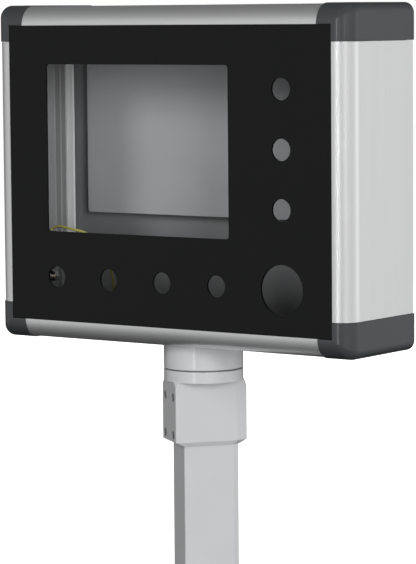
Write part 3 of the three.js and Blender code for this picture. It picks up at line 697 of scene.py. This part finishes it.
def support_tube():
    left, right, half, bevel_a, bevel_b = TUBE
    inner = (left + TUBE_WALL, right - TUBE_WALL, half - TUBE_WALL, bevel_a - 1, bevel_b)
    low, high = TUBE_LOW.z, TUBE_HIGH.z
    outside = [level_loop(support_section(*TUBE), TUBE_EDGE, z) for z in (low, high)]
    inside = [level_loop(support_section(*inner), TUBE_BORE_EDGE, z) for z in (high, low)]
    obj = loft("support_tube_finished", [*outside, *inside], closed=True)
    obj.data.transform(Matrix.Rotation(SUPPORT_TURN, 4, "Z"))
    stand_for(soften(obj, 0), "support_tube")


# ---------- Pieces that keep their CAD shape ----------
EDGES = {                           # width of the rounded edges, mm
    "rear_door": 0.6, "mounting_plate": 0.4, "panel_seal": 0.2, "door_seal": 0.3, "reinforcing_plate": 0.4,
    "pressure_plate": 0.3, "retaining_ring": 0.3, "bearing_bush": 0.15, "stop_pin": 0.3}
SMALL_EDGE = 0.25


def other_pieces():
    for node, obj in NODES.items():
        if not obj.hide_render:
            softened_copy(node, EDGES.get(node, SMALL_EDGE) * MM)


# ---------- Light, floor and camera ----------
def compass(azimuth, elevation):
    """Direction at an azimuth from -Y towards +X and an elevation, both in degrees."""
    a, e = math.radians(azimuth), math.radians(elevation)
    return Vector((math.sin(a) * math.cos(e), -math.cos(a) * math.cos(e), math.sin(e)))


LOBES = [  # azimuth, elevation, where it starts and ends as a cosine, brightness
    (88, 2, 0.22, 0.84, 0.52),
    (148, 2, 0.60, 0.95, 0.40),
    (-44, 4, 0.45, 0.92, 0.42),
    (30, 4, 0.64, 0.98, 0.12),
    (5, 4, 0.93, 0.995, 0.45),
]
AMBIENT = 0.10


def studio_world():
    """Soft lobes of light round the horizon, dimmer above and below. The camera itself sees plain white."""
    world = bpy.data.worlds.new("studio")
    bpy.context.scene.world = world
    world.use_nodes = True
    nodes, links = world.node_tree.nodes, world.node_tree.links
    nodes.clear()

    def math_node(operation, *values):
        node = nodes.new("ShaderNodeMath")
        node.operation = operation
        for socket, value in zip(node.inputs, values):
            if isinstance(value, bpy.types.NodeSocket):
                links.new(value, socket)
            else:
                socket.default_value = value
        return node.outputs["Value"]

    def white_light():
        node = nodes.new("ShaderNodeBackground")
        node.inputs["Color"].default_value = (1, 1, 1, 1)
        return node

    direction = nodes.new("ShaderNodeTexCoord").outputs["Generated"]
    total = AMBIENT
    for azimuth, elevation, start, end, brightness in LOBES:
        facing = nodes.new("ShaderNodeVectorMath")
        facing.operation = "DOT_PRODUCT"
        facing.inputs[1].default_value = compass(azimuth, elevation)
        links.new(direction, facing.inputs[0])
        lobe = map_range(nodes, links, facing.outputs["Value"], start, end, 0, brightness, "SMOOTHSTEP")
        total = math_node("ADD", lobe, total)
    height = nodes.new("ShaderNodeSeparateXYZ")
    links.new(direction, height.inputs["Vector"])
    steepness = math_node("ABSOLUTE", height.outputs["Z"])
    fade = map_range(nodes, links, steepness, 0.12, 0.72, 1.0, 0.36, "SMOOTHSTEP")
    lighting, seen = white_light(), white_light()
    links.new(math_node("MULTIPLY", total, fade), lighting.inputs["Strength"])
    mix = nodes.new("ShaderNodeMixShader")
    links.new(nodes.new("ShaderNodeLightPath").outputs["Is Camera Ray"], mix.inputs["Fac"])
    links.new(lighting.outputs["Background"], mix.inputs[1])
    links.new(seen.outputs["Background"], mix.inputs[2])
    output = nodes.new("ShaderNodeOutputWorld")
    links.new(mix.outputs["Shader"], output.inputs["Surface"])


LAMPS = [  # name, azimuth, elevation, distance, width, height, watts, seen in reflections
    ("key", 56, 10, 2.6, 1.2, 1.3, 39, False),
    ("fill", -24, 24, 2.6, 0.8, 0.8, 20, False),
    ("under", 30, -30, 2.6, 1.0, 0.8, 8, False),
    ("top", 20, 80, 2.6, 1.5, 1.5, 14, False),
    ("rear", 205, 28, 2.8, 1.4, 1.2, 34, False),
    ("strip", 8, 2, 2.8, 0.09, 1.6, 3.9, True),
    ("edge_1", 22, 4, 2.8, 0.03, 1.2, 0.8, True),
    ("edge_2", 48, 4, 2.8, 0.03, 1.2, 0.6, True),
    ("edge_3", 118, 4, 2.8, 0.03, 1.2, 0.5, True),
]


def lamps():
    target = Vector((0, 0, (TOP + BASE) / 2))
    for name, azimuth, elevation, distance, width, height, watts, mirrored in LAMPS:
        data = bpy.data.lights.new(name, "AREA")
        data.shape = "RECTANGLE"
        data.size, data.size_y = width, height
        data.energy = watts
        lamp = new_object(name, data)
        direction = compass(azimuth, elevation)
        turn = (-direction).to_track_quat("-Z", "Y").to_matrix().to_4x4()
        lamp.matrix_world = Matrix.Translation(target + direction * distance) @ turn
        lamp.visible_camera = False
        lamp.visible_glossy = mirrored


FLOOR_RINGS = (12.0, 3.0, 1.0, 0.2)     # radii in metres
FLOOR_GLOW = 0.84


def floor():
    """A pale disc just under the tube. It is only seen: it lights nothing and shows in no reflection."""
    rings = [[(x, y, TUBE_LOW.z - MM) for x, y in circle(0, 0, r, 64)] for r in FLOOR_RINGS]
    bm = bmesh.new()
    rows = [[bm.verts.new(p) for p in ring] for ring in rings]
    for low, high in zip(rows, rows[1:]):
        for i in range(len(low)):
            j = (i + 1) % len(low)
            bm.faces.new((low[i], low[j], high[j], high[i]))
    bm.faces.new(rows[-1])
    obj = from_bmesh("floor", bm)
    pale = grained("pale_floor", (0.9, 0.9, 0.9), 0.8, 300.0, 0.02 * MM, contrast=0.01)
    shader = pale.node_tree.nodes["Principled BSDF"]
    shader.inputs["Emission Color"].default_value = (1, 1, 1, 1)
    shader.inputs["Emission Strength"].default_value = FLOOR_GLOW
    obj.data.materials.append(pale)
    obj.visible_diffuse = False
    obj.visible_glossy = False


CAMERA_PLACE = (1.73872, -2.41465, BASE + 0.34156)
CAMERA_YAW, CAMERA_PITCH, CAMERA_ROLL = 35.654, 5.357, -0.479
CAMERA_LENS = 183.16


def camera():
    data = bpy.data.cameras.new("camera")
    data.lens, data.sensor_width = CAMERA_LENS, 36.0
    data.clip_start, data.clip_end = 0.1, 50.0
    obj = new_object("camera", data)
    yaw, pitch, roll = (math.radians(angle) for angle in (CAMERA_YAW, CAMERA_PITCH, CAMERA_ROLL))
    forward = Vector((-math.sin(yaw) * math.cos(pitch), math.cos(yaw) * math.cos(pitch), -math.sin(pitch)))
    level = Vector((math.cos(yaw), math.sin(yaw), 0))
    up = level.cross(forward)
    right = math.cos(roll) * level + math.sin(roll) * up
    rise = -math.sin(roll) * level + math.cos(roll) * up
    turn = Matrix((right, rise, -forward)).transposed().to_4x4()
    obj.matrix_world = Matrix.Translation(CAMERA_PLACE) @ turn
    bpy.context.scene.camera = obj


FINISHES = make_finishes()
camera()
front_panel()
frame_profiles()
corner_caps()
coupling()
clamp()
support_tube()
earth_lead()
other_pieces()
floor()
studio_world()
lamps()
bpy.context.scene.view_settings.view_transform = "Standard"
